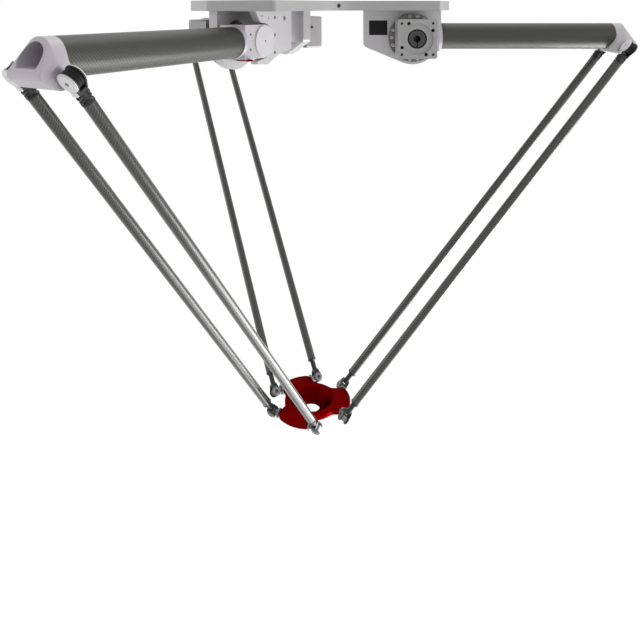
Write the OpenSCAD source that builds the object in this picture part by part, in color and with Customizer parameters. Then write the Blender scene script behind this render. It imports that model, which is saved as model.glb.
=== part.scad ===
// Delta robot with three arms and six rods that carry a tool platform.
// The origin is the centre of the base plate's top face and +Z is up, so the robot hangs below it.
// Arm b reaches along +X. Arms a and c stand 120 degrees to either side of it.
// In an arm's own frame X points outward, Y runs along the shoulder axis and the gear is on -Y.

/* [Base plate] */
// Thickness of the base plate
plate_t = 15.5; // [12:0.5:22]
// How far a lobe reaches past the shoulder axis
lobe_over = 63; // [60:1:80]
// Half-width of a lobe on the gear side
lobe_gear_side = 93; // [88:1:105]
// Half-width of a lobe on the other side
lobe_free_side = 78.5; // [70:0.5:90]
// Length of the slanted cut at the lobe's gear corner, along the lobe
lobe_cut_x = 26; // [15:1:45]
// Length of the slanted cut at the lobe's gear corner, across the lobe
lobe_cut_y = 53; // [35:1:60]
// Radius of the lobe's free corner
lobe_corner = 8; // [4:1:20]
// Radius of the hollow curve between two lobes
web_curve = 100; // [70:1:120]
// Diameter of the cable opening in the middle
cable_hole_d = 100; // [60:1:110]
// Diameter of the circle of frame bolts
frame_circle_d = 150; // [136:1:158]
// Diameter of a frame bolt hole
frame_bolt_d = 9; // [6:0.5:11]
// Number of frame bolt holes
frame_bolts = 6; // [3:1:9]
// Diameter of the tapped hole in the edge between two lobes
edge_hole_d = 6.8; // [4:0.1:9]
// Depth of that edge hole
edge_hole_depth = 20; // [10:1:30]

/* [Bracket] */
// Radius from the middle to each shoulder axis
shoulder_r = 169; // [165:1:200]
// Height of the shoulder axis below the base plate
shoulder_drop = 45; // [45:0.5:60]
// Radius of the bracket's round end
bracket_r = 45; // [44:0.5:46]
// How far the bracket's top reaches outward from the shoulder axis
bracket_out = 48; // [46.5:0.5:52]
// How far the bracket reaches inward from the shoulder axis
bracket_in = 81; // [76:1:84]
// Rise of the bracket's lower edge, in degrees
bracket_rise = 22.6; // [15:0.1:28]
// Radius of the bracket's inner lower corner
bracket_corner = 8; // [4:1:12]
// Distance from the arm's middle plane to the face that carries the gear
gear_face = 48; // [46:0.5:60]
// Thickness of the wall that carries the gear
gear_wall = 15; // [12:0.5:16]
// Distance from the arm's middle plane to the outer face of the guard wall
guard_face = 17; // [15:0.5:17.5]
// Thickness of the guard wall
guard_wall = 12; // [8:0.5:14]
// How far the guard reaches inward from the shoulder axis
guard_in = 77; // [72:1:78]
// How far the guard's upper lip reaches past the shoulder axis
guard_lip = 22; // [18:1:26]
// How far the guard's foot reaches past the shoulder axis
guard_foot = 16; // [8:1:20]
// Depth of the guard's foot below the shoulder axis
guard_depth = 36; // [34:0.5:40]
// Height of the guard's inner lower corner below the shoulder axis
guard_low = 15; // [8:0.5:20]
// Thickness of the wall that joins gear wall and guard
back_wall = 12; // [8:0.5:14]
// Distance from the shoulder axis to that wall
back_wall_in = 54; // [50:1:58]
// Depth of the hole for a bracket screw
screw_depth = 14; // [10:1:16]
// Diameter of a bracket screw
screw_d = 8; // [5:0.5:8]
// Diameter of a screw head's counterbore
screw_head_d = 13.5; // [12:0.5:15]
// Depth of a screw head's counterbore
screw_head_h = 8.5; // [6:0.5:9]
// Diameter of a tapped hole in the guard
guard_hole_d = 5; // [3:0.1:6]
// Spacing of the guard's column of tapped holes
guard_hole_step = 27; // [20:0.5:27]

/* [Gear and motor seat] */
// Radius of the gear's bolted flange
gear_flange_r = 40; // [39:0.5:43]
// Thickness of the gear's bolted flange
gear_flange_t = 10; // [6:0.5:14]
// Radius of the gear's pilot in the bracket
gear_pilot_r = 31; // [30:0.5:35]
// Depth of the gear's seal face inside the bracket
seal_depth = 3; // [1:0.5:6]
// Radius of the gear's neck behind the motor seat
gear_neck_r = 31; // [26:0.5:31]
// Length of the gear's neck
gear_neck_t = 10; // [6:0.5:14]
// Radius of the turning output flange
output_r = 25; // [20:0.5:27]
// Side of the square motor seat
seat_side = 62.5; // [62:0.5:68]
// Depth of the motor seat
seat_t = 34; // [30:0.5:45]
// Corner radius of the motor seat
seat_corner = 4; // [2:0.5:6]
// Diameter of the motor's pilot recess
motor_pilot_d = 50; // [48:0.1:52]
// Depth of the motor's pilot recess
motor_pilot_h = 3; // [2:0.5:4]
// Diameter of the opening round the clamp hub
seat_bore_d = 31; // [30:0.5:34]
// Diameter of the motor's bolt circle
motor_circle_d = 70; // [68:0.1:72]
// Diameter of a tapped hole for the motor
motor_hole_d = 4.2; // [3.3:0.1:5]
// Diameter of the circle of the seat's own screws
seat_circle_d = 56; // [56:0.5:58]
// Diameter of a counterbore for one of those screws
seat_hole_d = 5.6; // [4:0.1:6]
// Angle of the first of those screws, in degrees
seat_hole_turn = 29; // [20:1:35]
// Diameter of the hole in the seat's side that reaches the clamp screw
access_d = 6; // [4:0.5:8]
// Height of that hole above the shoulder axis
access_up = 10; // [6:0.5:14]
// Outer diameter of the clamp hub
clamp_d = 27; // [24:0.5:28]
// Diameter of the motor shaft that the hub takes
motor_shaft_d = 11; // [8:0.5:14]
// Radius of the clamp hub's journal in the gear
journal_r = 8; // [7.5:0.5:9]
// Length of that journal
journal_t = 8; // [6:0.5:12]
// Width of the clamp hub's slit
clamp_slit = 1.5; // [1:0.1:2.5]

/* [Arm] */
// Length of the arm from shoulder axis to elbow axis
arm_len = 364; // [340:1:400]
// Height of the elbow axis below the tube's centre line
elbow_drop = 18.2; // [16:0.1:22]
// Step in the hub's block beside the gear
hub_relief = 5; // [0.5:0.5:8]
// Radius of the arm's hub
hub_r = 25; // [25:0.5:26.5]
// Distance from the arm's middle plane to the hub's cover side
hub_face = 18; // [18:0.5:24]
// Length of the hub from the shoulder axis to the tube
hub_len = 55.5; // [52:0.5:70]
// Radius of the hub's collar at the tube
collar_r = 24; // [24:0.5:26]
// Width of that collar
collar_t = 7; // [4:0.5:10]
// Radius of the hub's cover
cover_r = 24; // [20:0.5:24.5]
// Thickness of the hub's cover
cover_t = 2; // [1.5:0.5:4]
// Outer radius of the arm's tube
tube_r = 22.5; // [21.5:0.5:23.5]
// Wall of the arm's tube
tube_wall = 2.5; // [1.5:0.5:3.5]
// Length of a spigot inside the tube
spigot_len = 30; // [20:1:45]

/* [Elbow] */
// Gap between tube end and elbow axis
elbow_gap = 10.6; // [9:0.1:14]
// Width of the elbow's collar at the tube
elbow_collar = 16; // [12:0.5:18]
// Radius of the elbow's cross boss
boss_r = 12.8; // [11:0.1:14]
// Half-length of the elbow's cross boss
boss_half = 28.4; // [26:0.1:28.5]
// How far the elbow's nose reaches past its axis
nose_out = 23; // [18:0.5:25]
// Radius of the elbow's nose
nose_r = 6.5; // [5:0.5:8]
// How far the elbow's lip reaches under the tube
lip_in = 22; // [16:0.5:26]
// Radius of that lip
lip_r = 5; // [4:0.5:6]
// Wall round the elbow's hollow
elbow_wall = 5; // [4:0.5:7]
// Height of the hollow's flat floor above the elbow axis
floor_up = 9.5; // [8:0.5:14]
// Radius of the elbow shaft
shaft_r = 5; // [4:0.5:5.5]
// Radius of the spacer and the end cap on the shaft
spacer_r = 5.9; // [5.6:0.1:6]
// Thickness of the shaft's end cap
end_cap_t = 2.4; // [2:0.1:4]

/* [Rods] */
// Length of a rod from joint centre to joint centre
rod_len = 781.5; // [740:0.5:820]
// Half the spacing of the two rods of a pair
rod_half = 43.2; // [43:0.1:46]
// Outer radius of a rod
rod_r = 7; // [6.5:0.5:8.5]
// Wall of a rod
rod_wall = 1.5; // [1:0.1:2]
// Distance from joint centre to the end of the rod's tube
neck_len = 31; // [30:0.5:45]
// Length of a fork's spigot in the rod
fork_spigot = 20; // [12:1:30]
// Thickness of an upper fork's prong
prong_t = 5; // [3.5:0.1:6]
// Radius of an upper cross's trunnion in the fork's eye
trunnion_r = 9.5; // [9.2:0.1:10.5]
// Radius of a lower fork's eye
low_eye_r = 10; // [9:0.5:11]
// Thickness of a lower fork's prong
low_prong_t = 4; // [3:0.1:5]
// Radius of a lower cross's trunnion
low_trunnion_r = 6.5; // [6:0.1:7]
// Half-width of a fork at its neck
prong_half = 6; // [5:0.5:7]
// Radius of the stub beside the platform
stub_r = 4.9; // [4.5:0.1:5]
// Radius of that stub's collar
stub_collar_r = 8; // [6:0.5:9]
// Diameter of the centre hole in a trunnion's end
centre_hole_d = 3.4; // [2:0.1:4]

/* [Platform] */
// Radius from the platform's middle to its joint axes
platform_r = 55; // [54:0.5:57]
// Thickness of the platform's rim
rim_t = 13; // [11:0.5:16]
// Half-width of a platform lobe
lobe_half = 28.5; // [27:0.1:28.5]
// Reach of a platform lobe
lobe_end = 68; // [65:0.5:70]
// Radius of the arc at a lobe's end
lobe_arc = 60; // [50:1:100]
// Radius of the disc that joins the lobes
disc_r = 43; // [42:0.5:46]
// Radius of the notch beside a joint
notch_r = 9.5; // [8:0.5:10]
// Distance from the middle to the notch
notch_at = 44; // [43:0.5:46]
// Radius of the dished recess at its top
dish_r = 40; // [38:0.5:41]
// Radius of the dish's flat floor
dish_floor_r = 19; // [17:0.5:22]
// Depth of the dish
dish_depth = 16; // [12:0.5:17]
// Thickness of the dish's floor
dish_floor_t = 5; // [4:0.5:8]
// Radius of the tool boss below
tool_boss_r = 32; // [31:0.5:36]
// Diameter of the tool bore
tool_bore_d = 30; // [24:0.5:32]
// Diameter of the circle of tool screws
tool_circle_d = 50; // [48:0.5:54]
// Diameter of a tapped hole for a tool screw
tool_hole_d = 3.3; // [2.5:0.1:5]
// Number of tool screw holes
tool_holes = 6; // [3:1:8]
// Radius of a platform axle
axle_r = 4; // [3:0.5:4.5]

/* [Clearances] */
// Radial clearance of a turning shaft in its bore
run_fit = 0.06; // [0.03:0.01:0.1]
// Radial clearance of a fixed pin in its bore
pin_fit = 0.03; // [0.01:0.01:0.05]
// Gap between pieces that move past each other
side_gap = 0.3; // [0.3:0.1:0.6]
// Wider gap round the hub inside the guard
guard_gap = 1; // [0.6:0.1:2]

/* [Hidden] */
ARMS = ["a", "b", "c"];
AZIMUTHS = [-120, 0, 120];
round_fn = 96;
hole_fn = 32;
axis_z = -plate_t - shoulder_drop;
lobe_reach = shoulder_r + lobe_over;
elbow_x = sqrt(arm_len * arm_len - elbow_drop * elbow_drop);
tube_end = elbow_x - elbow_gap;
rod_run = shoulder_r + elbow_x - platform_r;
rod_tilt = asin(rod_run / rod_len);
joint_z = axis_z - elbow_drop - rod_len * cos(rod_tilt);
// Gear stack along -Y, counted from the arm's middle plane
flange_back = gear_face + gear_flange_t;
seat_back = flange_back + gear_neck_t;
seat_front = seat_back + seat_t;
wall_inner = gear_face - gear_wall;
hub_back = wall_inner - side_gap;
gear_well = 2;
// Half the arm's swing, with a little to spare, in degrees
swing = 10.5;
// Fork and cross, counted from the joint centre
eye_r = rod_half - lobe_half - side_gap;
prong_in = spacer_r + side_gap;
prong_out = prong_in + prong_t;
cap_start = trunnion_r + side_gap;
low_prong_in = stub_r + side_gap;
low_prong_out = low_prong_in + low_prong_t;
stub_end = rod_half - lobe_half - side_gap;
// Base plate: where the edges of two neighbouring lobes cross, and the curve between them
knee_x = (lobe_gear_side - lobe_free_side * cos(60)) / sin(60);
knee_run = web_curve / tan(60);
knee_out = web_curve / sin(60);
web_centre = [knee_x + knee_out * cos(60), lobe_free_side + knee_out * sin(60)];
web_bite = 0.4;
mouth_bite = 0.4;
// Platform dish as part of a ball
dish_ball_z = rim_t / 2 + (dish_r * dish_r - dish_floor_r * dish_floor_r - dish_depth * dish_depth)
    / (2 * dish_depth);
dish_ball_r = sqrt(dish_r * dish_r + pow(dish_ball_z - rim_t / 2, 2));
dish_floor_z = rim_t / 2 - dish_depth;
tool_face_z = dish_floor_z - dish_floor_t;

// A cylinder along Y from y0 to y1
module y_rod(r, y0, y1) {
    translate([0, y0, 0]) rotate([-90, 0, 0]) cylinder(r = r, h = y1 - y0, $fn = round_fn);
}

// A cylinder along X from x0 to x1
module x_rod(r, x0, x1) {
    translate([x0, 0, 0]) rotate([0, 90, 0]) cylinder(r = r, h = x1 - x0, $fn = round_fn);
}

// A plate between y0 and y1 whose outline is drawn with X across and Z up
module y_plate(y0, y1) {
    translate([0, y1, 0]) rotate([90, 0, 0]) linear_extrude(height = y1 - y0) children();
}

// Children in an arm's frame, with the origin on its shoulder axis
module at_shoulder(arm) {
    rotate([0, 0, AZIMUTHS[arm]]) translate([shoulder_r, 0, axis_z]) children();
}

// Children in a rod's frame: origin at its upper joint, Z up along the rod, Y along the shoulder axis
module at_rod(arm, side) {
    at_shoulder(arm) translate([elbow_x, side * rod_half, -elbow_drop])
        rotate([0, rod_tilt, 0]) children();
}

// ---- Base plate ----

// Corner points of one lobe and of the web on its free side, turned by az
function lobe_points(az) = [for (p = [
    [lobe_reach - lobe_cut_x, -lobe_gear_side], [lobe_reach, lobe_cut_y - lobe_gear_side],
    [lobe_reach, lobe_free_side - lobe_corner], [lobe_reach - lobe_corner, lobe_free_side],
    [knee_x + knee_run, lobe_free_side],
    [knee_x - knee_run * cos(60), lobe_free_side + knee_run * sin(60)]])
    [p[0] * cos(az) - p[1] * sin(az), p[0] * sin(az) + p[1] * cos(az)]];

module plate_outline() {
    difference() {
        union() {
            polygon([for (az = AZIMUTHS) each lobe_points(az)]);
            for (az = AZIMUTHS) rotate(az)
                translate([lobe_reach - lobe_corner, lobe_free_side - lobe_corner])
                    circle(r = lobe_corner, $fn = hole_fn);
        }
        for (az = AZIMUTHS) rotate(az) translate(web_centre)
            circle(r = web_curve + web_bite, $fn = round_fn);
    }
}

// Bracket screws, seen from above in the arm's frame
gear_wall_mid = gear_wall / 2 - gear_face;
guard_mid = guard_face - guard_wall / 2;
SCREWS = [[-bracket_in + 17, gear_wall_mid], [bracket_r - 9.5, gear_wall_mid],
    [8 - guard_in, guard_mid], [-5, guard_mid]];

module base_plate() {
    color("gainsboro") difference() {
        translate([0, 0, -plate_t]) linear_extrude(height = plate_t) plate_outline();
        translate([0, 0, -plate_t - 1]) cylinder(d = cable_hole_d, h = plate_t + 2, $fn = round_fn);
        for (i = [0 : frame_bolts - 1]) rotate([0, 0, i * 360 / frame_bolts + 30])
            translate([frame_circle_d / 2, 0, -plate_t - 1])
                cylinder(d = frame_bolt_d, h = plate_t + 2, $fn = hole_fn);
        for (az = AZIMUTHS) rotate([0, 0, az]) {
            for (s = SCREWS) translate([shoulder_r + s[0], s[1], -plate_t - 1]) {
                cylinder(d = screw_d + 0.8, h = plate_t + 2, $fn = hole_fn);
                translate([0, 0, plate_t + 1 - screw_head_h])
                    cylinder(d = screw_head_d, h = screw_head_h + 1, $fn = hole_fn);
            }
            translate([web_centre[0], web_centre[1], -plate_t / 2]) rotate([0, 0, 240])
                    x_rod(edge_hole_d / 2, web_curve - 2, web_curve + edge_hole_depth);
        }
    }
}

// ---- Bracket ----

// Lower edge of a bracket wall, at a distance x from the shoulder axis
function edge_z(x) = -bracket_r / cos(bracket_rise) - x * tan(bracket_rise);

module gear_wall_outline() {
    touch = [-bracket_r * sin(bracket_rise), -bracket_r * cos(bracket_rise)];
    cut = bracket_corner * tan((90 - bracket_rise) / 2);
    low = [-bracket_in, edge_z(-bracket_in)];
    turn = acos(bracket_r / bracket_out);
    polygon([[-bracket_in, shoulder_drop], [bracket_out, shoulder_drop], [bracket_out, 0],
        [bracket_r * cos(turn), -bracket_r * sin(turn)], touch,
        [low[0] + cut * cos(bracket_rise), low[1] - cut * sin(bracket_rise)],
        [low[0], low[1] + cut]]);
    circle(r = bracket_r, $fn = round_fn);
    translate([low[0] + bracket_corner, low[1] + cut]) circle(r = bracket_corner, $fn = round_fn);
}

// The guard is open outward, and its mouth leaves room for the arm's swing
module guard_outline() {
    room = hub_r + guard_gap;
    difference() {
        polygon([[-guard_in, shoulder_drop], [guard_lip, shoulder_drop],
            [guard_lip - 16, shoulder_drop - 21], [0, 0], [guard_foot, -room / 2],
            [guard_foot, 2 - guard_depth], [guard_foot - 26, -guard_depth],
            [-guard_depth - 4, -guard_low - 8], [-guard_in, -guard_low]]);
        circle(r = room + mouth_bite, $fn = round_fn);
        for (turn = [-swing, swing]) rotate(turn)
            translate([0, -room]) square([hub_len, 2 * room]);
    }
}

module bracket(arm) {
    back_low = -guard_low - 1;
    color("lightgray") at_shoulder(arm) difference() {
        union() {
            y_plate(-gear_face, -wall_inner) gear_wall_outline();
            y_plate(guard_face - guard_wall, guard_face) guard_outline();
            translate([-back_wall_in - back_wall, -wall_inner - 1, back_low])
                cube([back_wall, wall_inner + guard_face - guard_wall + 2, shoulder_drop - back_low]);
        }
        y_rod(gear_pilot_r + pin_fit, -gear_face - 1, -wall_inner + 1);
        for (s = SCREWS) translate([s[0], s[1], shoulder_drop - screw_depth])
            cylinder(d = screw_d, h = screw_depth + 1, $fn = round_fn);
        for (i = [-1 : 1]) translate([-hub_r - guard_gap - 4, 0, i * guard_hole_step + 8])
            y_rod(guard_hole_d / 2, guard_face - guard_wall - 1, guard_face + 1);
        translate([-guard_in + 20, 0, shoulder_drop - 12])
            y_rod(guard_hole_d * 0.7, guard_face - guard_wall - 1, guard_face + 1);
    }
}

// ---- Gear, motor seat and clamp hub ----

module gearbox(arm) {
    color("dimgray") at_shoulder(arm) difference() {
        union() {
            y_rod(gear_flange_r, -flange_back, -gear_face);
            y_rod(gear_pilot_r, -gear_face, -wall_inner - seal_depth);
            y_rod(gear_neck_r, -seat_back, -flange_back);
        }
        y_rod(output_r + run_fit, -gear_face - gear_well, -wall_inner + 1);
        y_rod(journal_r + run_fit, -seat_back - 1, -seat_back + journal_t + side_gap);
    }
}

// Square plate whose bore, pilot and bolt circle take a servo motor
module motor_seat(arm) {
    half = seat_side / 2 - seat_corner;
    color("silver") at_shoulder(arm) difference() {
        y_plate(-seat_front, -seat_back) {
            square([seat_side, seat_side - 2 * seat_corner], center = true);
            square([seat_side - 2 * seat_corner, seat_side], center = true);
            for (x = [-half, half], z = [-half, half])
                translate([x, z]) circle(r = seat_corner, $fn = round_fn);
        }
        y_rod(motor_pilot_d / 2, -seat_front - 1, -seat_front + motor_pilot_h);
        y_rod(seat_bore_d / 2, -seat_front, -seat_back + 1);
        for (turn = [45 : 90 : 315]) rotate([0, turn, 0]) translate([motor_circle_d / 2, 0, 0])
            y_rod(motor_hole_d / 2, -seat_front - 1, -seat_front + 14);
        for (turn = [0 : 90 : 270]) rotate([0, -turn - seat_hole_turn, 0])
            translate([seat_circle_d / 2, 0, 0])
                y_rod(seat_hole_d / 2, -seat_front - 1, -seat_back - 6);
        translate([0, -seat_back - seat_t / 3, access_up])
            x_rod(access_d / 2, -seat_side / 2 - 1, -seat_bore_d / 2 + 4);
    }
}

module clamp_hub(arm) {
    hub_front = -seat_front + motor_pilot_h + 0.5;
    color("gray") at_shoulder(arm) difference() {
        union() {
            y_rod(clamp_d / 2, hub_front, -seat_back - side_gap);
            y_rod(journal_r, -seat_back - side_gap - 1, -seat_back + journal_t);
        }
        y_rod(motor_shaft_d / 2, hub_front - 1, -seat_back - 4);
        translate([-clamp_slit / 2, hub_front - 1, -clamp_d / 2 - 1])
            cube([clamp_slit, seat_t - motor_pilot_h - 12, clamp_d / 2 + 1]);
    }
}

// ---- Arm ----

module output_flange(arm) {
    color("darkgray") at_shoulder(arm) difference() {
        y_rod(output_r, -gear_face - gear_well + side_gap, -hub_back);
        y_rod(output_r - 7, -gear_face - gear_well, -gear_face);
    }
}

module arm_hub(arm) {
    color("whitesmoke") at_shoulder(arm) difference() {
        union() {
            y_rod(hub_r, -hub_back, hub_face);
            translate([0, hub_relief - hub_back, -hub_r])
                cube([hub_len - collar_t, hub_back + hub_face - hub_relief, 2 * hub_r]);
            x_rod(collar_r, hub_len - collar_t, hub_len);
            x_rod(tube_r - tube_wall - pin_fit, hub_len, hub_len + spigot_len);
        }
        x_rod(tube_r - tube_wall - 4, hub_len - collar_t, hub_len + spigot_len + 1);
        for (z = [-1, 1]) translate([hub_len - collar_t - 14, 0, z * 10.8])
            y_rod(2, hub_face - 8, hub_face + 1);
    }
}

module hub_cover(arm) {
    color("white") at_shoulder(arm) difference() {
        y_rod(cover_r, hub_face, hub_face + cover_t);
        y_rod(centre_hole_d / 2, hub_face - 1, hub_face + cover_t + 1);
    }
}

module arm_tube(arm) {
    color("darkolivegreen") at_shoulder(arm) difference() {
        x_rod(tube_r, hub_len, tube_end);
        x_rod(tube_r - tube_wall, hub_len - 1, tube_end + 1);
    }
}

// Casting that wraps from the tube's collar to a cross boss, with a nose outside and a lip inside
module elbow(arm) {
    hollow_r = tube_r - elbow_wall;
    color("thistle") at_shoulder(arm) difference() {
        union() {
            x_rod(tube_r - tube_wall - pin_fit, tube_end - spigot_len, tube_end + 1);
            difference() {
                hull() {
                    translate([tube_end, 0, 0]) rotate([0, 90, 0])
                        cylinder(r = tube_r, h = elbow_collar, $fn = 48);
                    translate([elbow_x, -boss_half, -elbow_drop]) rotate([-90, 0, 0])
                        cylinder(r = boss_r, h = 2 * boss_half, $fn = 40);
                    translate([elbow_x + nose_out - nose_r, -boss_half * 0.9, 3 - elbow_drop])
                        rotate([-90, 0, 0]) cylinder(r = nose_r, h = boss_half * 1.8, $fn = 32);
                    translate([elbow_x - lip_in + lip_r, -boss_half * 0.6, -tube_r])
                        rotate([-90, 0, 0]) cylinder(r = lip_r, h = boss_half * 1.2, $fn = 32);
                }
                x_rod(tube_r + pin_fit, tube_end - lip_in, tube_end);
            }
        }
        intersection() {
            x_rod(hollow_r, tube_end - spigot_len - 1, elbow_x + nose_out + 5);
            translate([0, -tube_r, floor_up - elbow_drop])
                cube([elbow_x + nose_out + 5, 2 * tube_r, 2 * tube_r]);
        }
        translate([elbow_x, 0, -elbow_drop]) y_rod(shaft_r + pin_fit, -boss_half - 1, boss_half + 1);
    }
}

module elbow_shaft(arm) {
    cap = rod_half + cap_start;
    color("dimgray") at_shoulder(arm) translate([elbow_x, 0, -elbow_drop]) {
        y_rod(shaft_r, -cap - 1, cap + 1);
        for (side = [-1, 1]) scale([1, side, 1]) {
            y_rod(spacer_r, boss_half, rod_half - cap_start);
            y_rod(spacer_r, cap, cap + end_cap_t);
        }
    }
}

// ---- Rods ----

// Fork with its eyes round the origin and its spigot pointing down the rod
module fork(eye, pin, inner, outer) {
    bridge = eye + 1.5;
    difference() {
        union() {
            for (side = [-1, 1]) scale([side, 1, 1]) translate([inner, 0, 0])
                rotate([90, 0, 90]) linear_extrude(height = outer - inner) {
                    circle(r = eye, $fn = round_fn);
                    polygon([[-eye * 0.98, -eye * 0.2], [eye * 0.98, -eye * 0.2],
                        [prong_half, -bridge - 3], [-prong_half, -bridge - 3]]);
                }
            translate([-outer, -prong_half, -bridge - 5]) cube([2 * outer, 2 * prong_half, 5]);
            translate([0, 0, -neck_len]) cylinder(r = rod_r, h = neck_len - bridge - 4, $fn = round_fn);
            translate([0, 0, -neck_len - fork_spigot])
                cylinder(r = rod_r - rod_wall - pin_fit, h = fork_spigot + 2, $fn = round_fn);
        }
        x_rod(pin + run_fit, -outer - 1, outer + 1);
    }
}

// Cross between a fork's prongs, with a centre hole in each end
module cross(pin, outer) {
    difference() {
        x_rod(pin, -outer - 0.5, outer + 0.5);
        for (side = [-1, 1]) scale([side, 1, 1]) x_rod(centre_hole_d / 2, outer - 2, outer + 1);
    }
}

module rod(arm, side) {
    color("dimgray") at_rod(arm, side) difference() {
        translate([0, 0, neck_len - rod_len])
            cylinder(r = rod_r, h = rod_len - 2 * neck_len, $fn = round_fn);
        translate([0, 0, neck_len - rod_len - 1])
            cylinder(r = rod_r - rod_wall, h = rod_len - 2 * neck_len + 2, $fn = round_fn);
    }
}

module top_fork(arm, side) {
    color("black") at_rod(arm, side) fork(eye_r, trunnion_r, prong_in, prong_out);
}

module top_cross(arm, side) {
    color("whitesmoke") at_rod(arm, side) difference() {
        cross(trunnion_r, prong_out);
        y_rod(shaft_r + run_fit, -trunnion_r - 1, trunnion_r + 1);
    }
}

// Lower fork and cross, with the stub that faces the platform's lobe
module low_joint(arm, side) {
    at_rod(arm, side) translate([0, 0, -rod_len]) {
        color("black") scale([1, 1, -1])
            fork(low_eye_r, low_trunnion_r, low_prong_in, low_prong_out);
        color("whitesmoke") {
            cross(low_trunnion_r, low_prong_out);
            scale([1, -side, 1]) {
                y_rod(stub_r, 0, stub_end);
                y_rod(stub_collar_r, low_eye_r + side_gap, stub_end);
            }
        }
    }
}

// ---- Platform ----

module platform_outline() {
    difference() {
        union() {
            circle(r = disc_r, $fn = 2 * round_fn);
            for (az = AZIMUTHS) rotate(az) intersection() {
                translate([lobe_end - lobe_arc, 0]) circle(r = lobe_arc, $fn = 2 * round_fn);
                circle(r = lobe_end + 0.5, $fn = 2 * round_fn);
                translate([0, -lobe_half]) square([lobe_end, 2 * lobe_half]);
            }
        }
        for (az = AZIMUTHS, side = [-1, 1]) rotate(az)
            translate([notch_at, side * (lobe_half + 2)]) circle(r = notch_r, $fn = round_fn);
    }
}

module platform() {
    color("darkred") translate([0, 0, joint_z]) difference() {
        union() {
            translate([0, 0, -rim_t / 2]) linear_extrude(height = rim_t) platform_outline();
            translate([0, 0, tool_face_z])
                cylinder(r = tool_boss_r, h = -tool_face_z, $fn = round_fn);
        }
        intersection() {
            translate([0, 0, dish_ball_z]) sphere(r = dish_ball_r, $fn = 2 * round_fn);
            translate([0, 0, dish_floor_z]) cylinder(r = dish_r + 5, h = dish_depth + 5, $fn = round_fn);
        }
        translate([0, 0, tool_face_z - 1])
            cylinder(d = tool_bore_d, h = dish_floor_t + 2, $fn = round_fn);
        for (i = [0 : tool_holes - 1]) rotate([0, 0, i * 360 / tool_holes + 30])
            translate([tool_circle_d / 2, 0, tool_face_z - 1])
                cylinder(d = tool_hole_d, h = dish_floor_t + 1, $fn = round_fn);
        for (az = AZIMUTHS) rotate([0, 0, az]) translate([platform_r, 0, 0])
            y_rod(axle_r + pin_fit, -lobe_half - 1, lobe_half + 1);
    }
}

module axle(arm) {
    color("silver") rotate([0, 0, AZIMUTHS[arm]]) translate([platform_r, 0, joint_z])
        y_rod(axle_r, -lobe_half, lobe_half);
}

// ---- Nodes ----

base_plate();
platform();
for (arm = [0 : 2]) {
    bracket(arm);
    gearbox(arm);
    motor_seat(arm);
    clamp_hub(arm);
    output_flange(arm);
    arm_hub(arm);
    hub_cover(arm);
    arm_tube(arm);
    elbow(arm);
    elbow_shaft(arm);
    axle(arm);
    for (n = [1, 2]) {
        rod(arm, 3 - 2 * n);
        top_fork(arm, 3 - 2 * n);
        top_cross(arm, 3 - 2 * n);
        low_joint(arm, 3 - 2 * n);
    }
}
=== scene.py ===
"""Looks of a ceiling-hung delta robot, laid out as an add-on that runs as a script.

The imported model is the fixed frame. This file gives each of its parts a finish and adds the
screws, pins, rings and plates that are too small for the solids. All sizes are in metres.
"""

import math

import bpy
import numpy as np
from mathutils import Matrix, Vector


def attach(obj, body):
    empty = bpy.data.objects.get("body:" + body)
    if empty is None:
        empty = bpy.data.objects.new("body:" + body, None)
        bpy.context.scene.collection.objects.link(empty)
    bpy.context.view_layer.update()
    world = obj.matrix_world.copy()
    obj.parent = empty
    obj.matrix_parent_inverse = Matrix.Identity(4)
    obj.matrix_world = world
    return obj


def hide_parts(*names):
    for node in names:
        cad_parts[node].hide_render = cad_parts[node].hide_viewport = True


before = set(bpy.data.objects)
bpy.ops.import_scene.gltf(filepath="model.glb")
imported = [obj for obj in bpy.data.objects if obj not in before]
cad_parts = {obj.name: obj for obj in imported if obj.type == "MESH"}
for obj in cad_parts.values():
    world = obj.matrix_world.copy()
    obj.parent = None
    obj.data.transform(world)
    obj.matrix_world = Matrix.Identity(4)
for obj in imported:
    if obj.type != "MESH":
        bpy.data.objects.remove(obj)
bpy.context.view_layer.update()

bl_info = {
    "name": "Delta Robot Looks",
    "version": (1, 0, 0),
    "blender": (4, 5, 0),
    "location": "3D View > Sidebar > Delta Robot",
    "description": "Finishes and small parts of a ceiling-hung delta robot",
    "category": "Object",
}

# ---- Sizes shared with the solids ----

AZIMUTHS = {"a": math.radians(-120), "b": 0.0, "c": math.radians(120)}
SIDES = {1: 1.0, 2: -1.0}
SHOULDER_R = 0.169
AXIS_Z = -0.0605
ELBOW_DROP = 0.0182
ELBOW_X = math.sqrt(0.364**2 - ELBOW_DROP**2)
ROD_LEN = 0.7815
ROD_HALF = 0.0432
PLATFORM_R = 0.055
ROD_TILT = math.asin((SHOULDER_R + ELBOW_X - PLATFORM_R) / ROD_LEN)
JOINT_Z = AXIS_Z - ELBOW_DROP - ROD_LEN * math.cos(ROD_TILT)
GEAR_FACE = 0.048
GUARD_FACE = 0.017
HUB_R = 0.025
TOP_FORK = {"eye": 0.0124, "inner": 0.0046, "outer": 0.0066, "half": 0.0046, "neck": 0.0044}
LOW_FORK = {"eye": 0.0078, "inner": 0.0046, "outer": 0.0066, "half": 0.0042, "neck": 0.0043}
NECK_END = 0.0045
TOP_CAP = {"cap": 0.0113, "rim": 0.0123}
LOW_CAP = {"cap": 0.0064, "rim": 0.0074}
CAP_HOLE = 0.0026
SEAL_R = 0.0114
PIN_R = 0.0042
STUB_R = 0.0049
STUB_DISC_R = 0.0080
STUB_END = 0.0143
TUBE_R = 0.0225
ROD_R = 0.007
TOW = 0.0011
PLATE_SCREWS = ((-0.064, -0.0405), (0.0355, -0.0405), (-0.069, 0.011), (-0.005, 0.011))
SCREW_SEAT = 0.0085
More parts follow.
